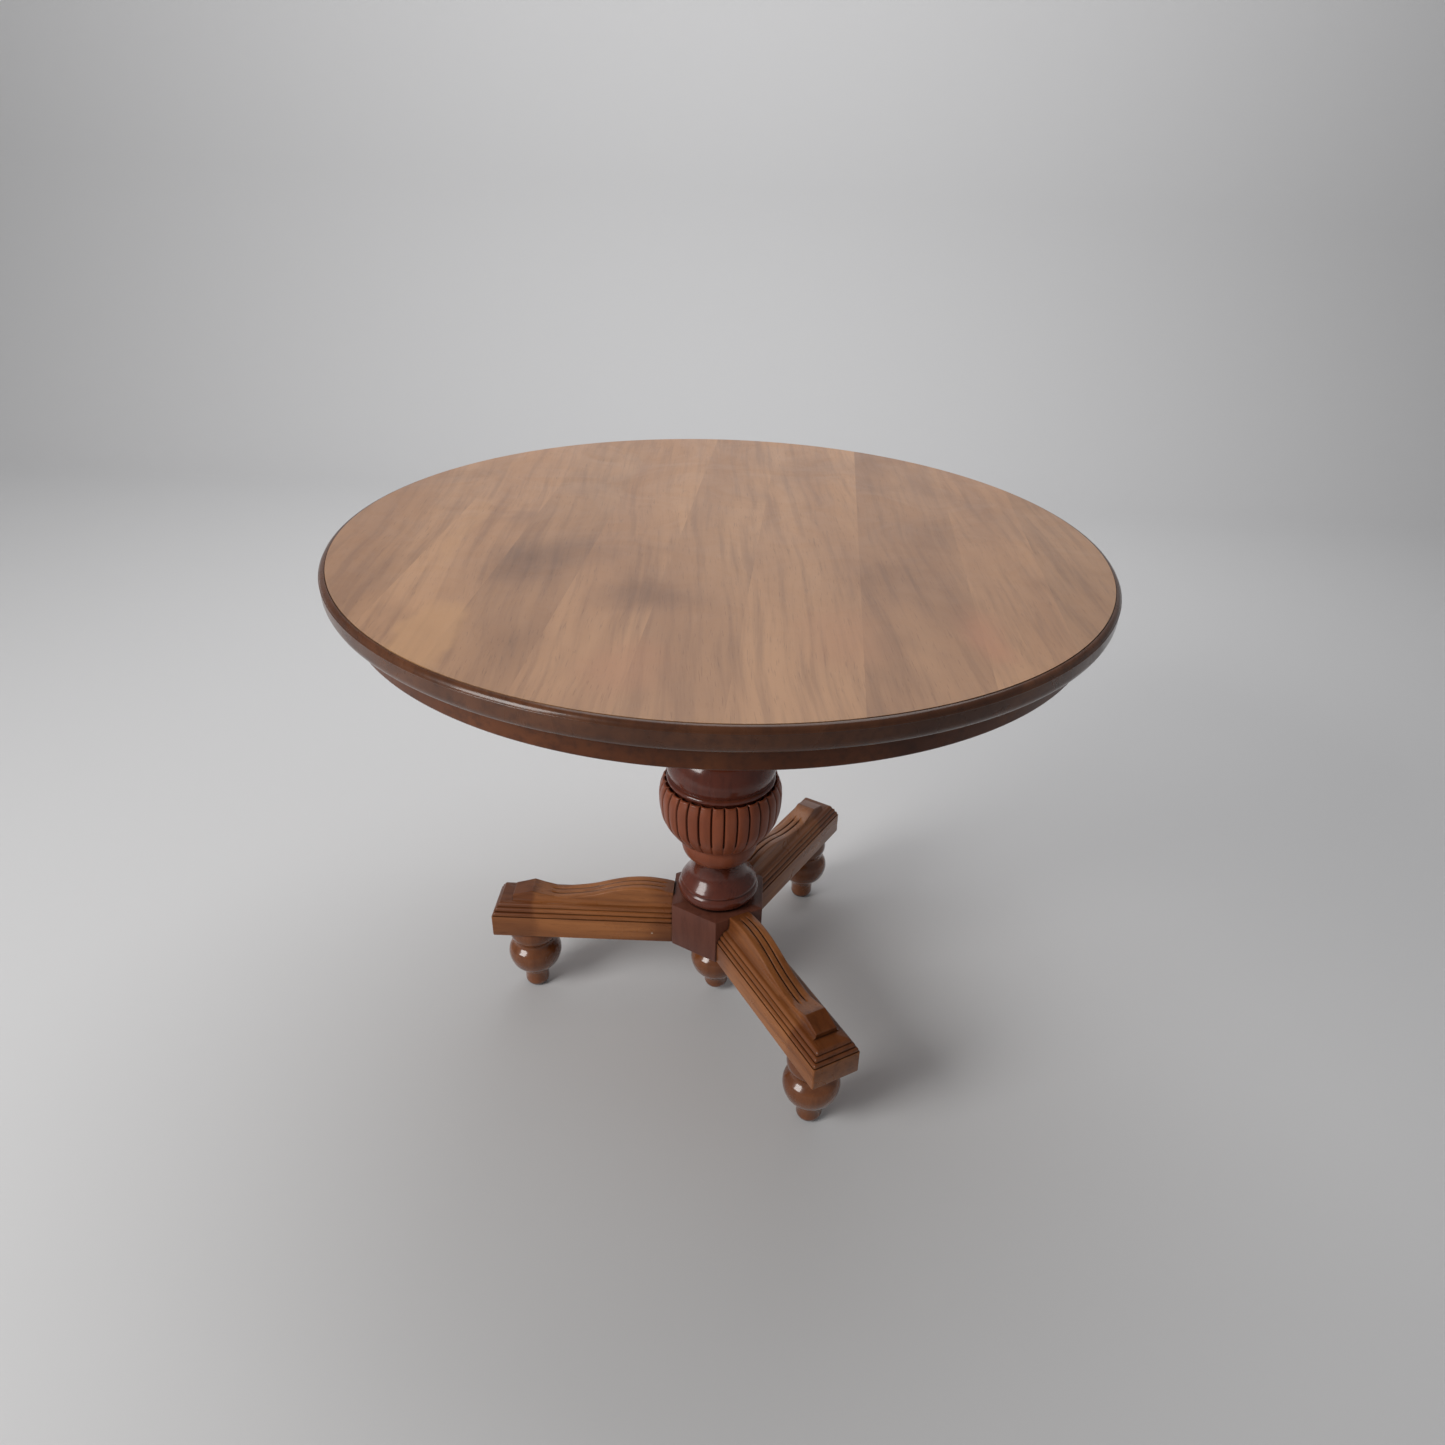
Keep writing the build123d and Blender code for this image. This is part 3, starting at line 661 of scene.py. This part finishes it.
def railMoulding():
    s, t = leg["shoulder"], leg["railTop"]
    foot = arcLine((1.2, leg["low"]), (0.35, leg["low"] + 0.35), (0, leg["low"] + 1.2), 3)
    arris = arcLine((0, s - 0.9), (0.3, s - 0.2), (1.0, s), 3)
    firstBead = arcLine((1.9, s + 0.6), (2.3, s + 4.8), (5.0, s + 6.4), 8)
    secondBead = arcLine((5.5, s + 6.9), (5.9, s + 11.6), (8.7, s + 13.4), 8)
    ovolo = arcLine((9.2, s + 13.9), (10.4, s + 18.2), (13.2, t), 8)
    return joinLines(foot, arris, [(1.9, s - 0.2)], firstBead, [(5.6, s + 6.0)], secondBead,
                     [(9.3, s + 13.0)], ovolo, [(30, t)])


def crestHeight(reach):
    line = crestLine
    if reach <= line[0][0]:
        return line[0][1]
    for a, b in zip(line, line[1:]):
        if reach <= b[0]:
            return a[1] + (b[1] - a[1]) * (reach - a[0]) / (b[0] - a[0])
    return line[-1][1]


# side view of the crest: distance along the leg and height, from the hub to the peak
crestLine = smoothLine([(leg["start"], 203), (88, 207.5), (112, 210), (138, 208.2), (162, 203),
                        (200, 192.3), (242, 187), (266, 190.6), (leg["crestPeak"], 197)], 6)


def crestSection(reach, top, foot):
    # half outline from the middle of the top down to the foot, mirrored afterwards
    half, waist, pitch = leg["crestFoot"] / 2, leg["crestWaist"] / 2, leg["reedPitch"]
    begun, ended = smoothStep(*leg["reedStart"], reach), smoothStep(*leg["reedStop"], reach)
    depth = leg["reedDepth"] * begun * (1 - ended)
    rise = top - foot
    flare = min(14.0, 0.62 * rise)
    sag = 0.22 * depth
    points = []
    for x in (0, 2, 3.2, 3.8, 4.3, 4.8, 5, 5.2, 5.7, 6.2, 6.8, 8.5, 11, 13, 14.4, 15.3):
        groove = max(0.0, 1 - abs(x - pitch / 2) / leg["reedHalfWidth"])
        middle = 0 if x < pitch / 2 else (pitch / 2 + waist) / 2
        crown = ((x - middle) / (pitch / 2)) ** 2
        points.append((x, top - depth * groove - sag * min(1.0, crown)))
    points.append((waist - 0.4, top - sag - 0.5))
    points.append((waist, top - sag - 1.3))
    for i in range(9):
        t = i / 8
        z = foot + flare * (1 - t)
        x = waist + (half - waist) * (1 - math.sqrt(max(0.0, 1 - t ** 2)))
        points.append((x, min(z, top - sag - 1.4 - 0.01 * i)))
    return points


def crestRing(reach, top):
    # both halves of the section, from one foot over the top to the other
    half = crestSection(reach, top, leg["railTop"])
    return [(reach, -x, z) for x, z in half[::-1]] + [(reach, x, z) for x, z in half[1:]]


def crestMesh():
    start, length, steps = leg["start"], leg["crestPeak"] - leg["start"], leg["crestSteps"]
    reaches = [start + length * i / steps for i in range(steps + 1)]
    rings = [crestRing(reach, crestHeight(reach)) for reach in reaches]
    rings += [crestRing(reach, top) for reach, top in leg["crestRamp"]]
    rings.append([(leg["crestEnd"], y, min(z, leg["rampFoot"])) for _, y, z in rings[-1]])
    vertices, faces = stackRings(rings, False)
    count, rows = len(rings[0]), range(len(rings))
    faces.append(tuple(range(count))[::-1])
    faces.append(tuple((len(rings) - 1) * count + i for i in range(count)))
    oneSide = tuple(row * count for row in rows)
    otherSide = tuple(row * count + count - 1 for row in reversed(rows))
    faces.append(oneSide + otherSide)
    # the rings run the other way round from a turned piece, so the faces are turned outwards
    return vertices, [face[::-1] for face in faces]


railRings = [railRing(30, leg["low"])] + [railRing(d, z) for d, z in railMoulding()]
railMesh = stackRings(railRings, True, True, True)
for number, angle in enumerate(legAngles, 1):
    # each leg gets the painted shade tone beside the hub, over the end block and along the upper mouldings
    finish = dict(legFinish, seed=leg["seedStep"] * number, stain=leg["stain"])
    legWood = varnishedWood(f"legVarnish{number}", finish)
    turn = Matrix.Rotation(math.radians(angle), 4, "Z")
    for name, node, meshData in (("legRail", "leg_rail", railMesh), ("legCrest", "leg_crest", crestMesh())):
        addPiece(f"{name}{number}", *meshData, legWood, "legs", f"{node}_{number}",
                 sharpAngle=leg["sharpAngle"], turn=turn)
print("legs carved")

# feet

feet = {"circle": 292.0, "top": 124.0, "flat": 12.0, "centreLift": 9.0, "turnSteps": 72}


def footProfile(lift):
    toe = arcLine((feet["flat"], lift), (16.4, lift + 4), (18.4, lift + 14), 8)
    bun = smoothLine([(18.8, 25), (20.5, 32), (26.5, 39), (36, 50), (41, 66), (39.4, 79), (33, 87)], 8)
    groove = arcLine((33, 87), (30.5, 92.5), (33, 98), 8)
    collar = arcLine((33, 98), (37.4, 111), (34, feet["top"]), 12)
    return joinLines([(2, lift)], toe, bun, groove, collar, [(2, feet["top"])])


for number, angle in enumerate(legAngles, 1):
    vertices, faces = turnedSolid(footProfile(0.0), feet["turnSteps"])
    a = math.radians(angle)
    cx, cy = feet["circle"] * math.cos(a), feet["circle"] * math.sin(a)
    moved = [(x + cx, y + cy, z) for x, y, z in vertices]
    addPiece(f"bunFoot{number}", moved, faces, footWood, "feet", f"bun_foot_{number}")
centre = turnedSolid(footProfile(feet["centreLift"]), feet["turnSteps"])
addPiece("centreFoot", *centre, footWood, "feet", "centre_foot")
print("feet turned")

# studio

studio = {"floorTone": 0.56, "keyPower": 95.0, "topPower": 34.0, "wallPower": 60.0, "worldTone": 0.24,
          "halfWidth": 7.0}


def paleSurface(name, tone):
    material = bpy.data.materials.new(name)
    material.use_nodes = True
    shader = material.node_tree.nodes["Principled BSDF"]
    shader.inputs["Base Color"].default_value = (tone, tone, tone * 1.01, 1)
    shader.inputs["Roughness"].default_value = 0.85
    return material


def sweepBackdrop():
    # floor that curves up into a wall behind the table
    line = joinLines([(-6.0, 0.0)], arcLine((2.6, 0.0), (3.3, 0.29), (3.6, 1.0), 16), [(3.6, 5.0)])
    half = studio["halfWidth"]
    vertices = [(x, y, z) for y, z in line for x in (-half, half)]
    faces = [(2 * i, 2 * i + 1, 2 * i + 3, 2 * i + 2) for i in range(len(line) - 1)]
    mesh = bpy.data.meshes.new("studioSweep")
    mesh.from_pydata(vertices, [], faces)
    for polygon in mesh.polygons:
        polygon.use_smooth = True
    mesh.materials.append(paleSurface("studioPaper", studio["floorTone"]))
    floor = bpy.data.objects.new("studioSweep", mesh)
    bpy.context.scene.collection.objects.link(floor)


def softLamp(name, place, target, size, power, colour=(1, 1, 1)):
    # a rectangular lamp turned towards its target
    lamp = bpy.data.lights.new(name, "AREA")
    lamp.shape = "RECTANGLE"
    lamp.size, lamp.size_y = size
    lamp.energy = power
    lamp.color = colour
    holder = bpy.data.objects.new(name, lamp)
    holder.location = place
    holder.rotation_euler = (Vector(target) - Vector(place)).to_track_quat("-Z", "Y").to_euler()
    bpy.context.scene.collection.objects.link(holder)


sweepBackdrop()
softLamp("windowLeft", (-2.6, -1.9, 2.1), (0, 0, 0.45), (1.5, 1.7), studio["keyPower"],
         (1.0, 0.99, 0.97))
softLamp("overhead", (0.2, 1.0, 3.0), (0, 0, 0.5), (2.4, 1.8), studio["topPower"])
softLamp("wallWash", (0.0, 1.2, 3.2), (0, 3.6, 1.9), (4.0, 0.8), studio["wallPower"])
world = bpy.data.worlds.new("studioAir")
world.use_nodes = True
tone = studio["worldTone"]
world.node_tree.nodes["Background"].inputs["Color"].default_value = (tone, tone, tone * 1.02, 1)
world.node_tree.nodes["Background"].inputs["Strength"].default_value = 1.0
bpy.context.scene.world = world

# camera

view = {"place": (0.03898, -1.28982, 1.23091), "heading": -0.962, "pitch": 30.17, "roll": 2.859,
        "lens": 26.16, "sensor": 36, "shift": (-0.0294, 0.0092)}
cameraData = bpy.data.cameras.new("roomView")
cameraData.lens = view["lens"]
cameraData.sensor_width = view["sensor"]
cameraData.shift_x, cameraData.shift_y = view["shift"]
camera = bpy.data.objects.new("roomView", cameraData)
turn = (Matrix.Rotation(math.radians(view["heading"]), 4, "Z")
        @ Matrix.Rotation(math.radians(90 - view["pitch"]), 4, "X")
        @ Matrix.Rotation(math.radians(view["roll"]), 4, "Z"))
camera.matrix_world = Matrix.Translation(view["place"]) @ turn
bpy.context.scene.collection.objects.link(camera)
bpy.context.scene.camera = camera
bpy.context.scene.view_settings.view_transform = "Standard"

print("scene ready")
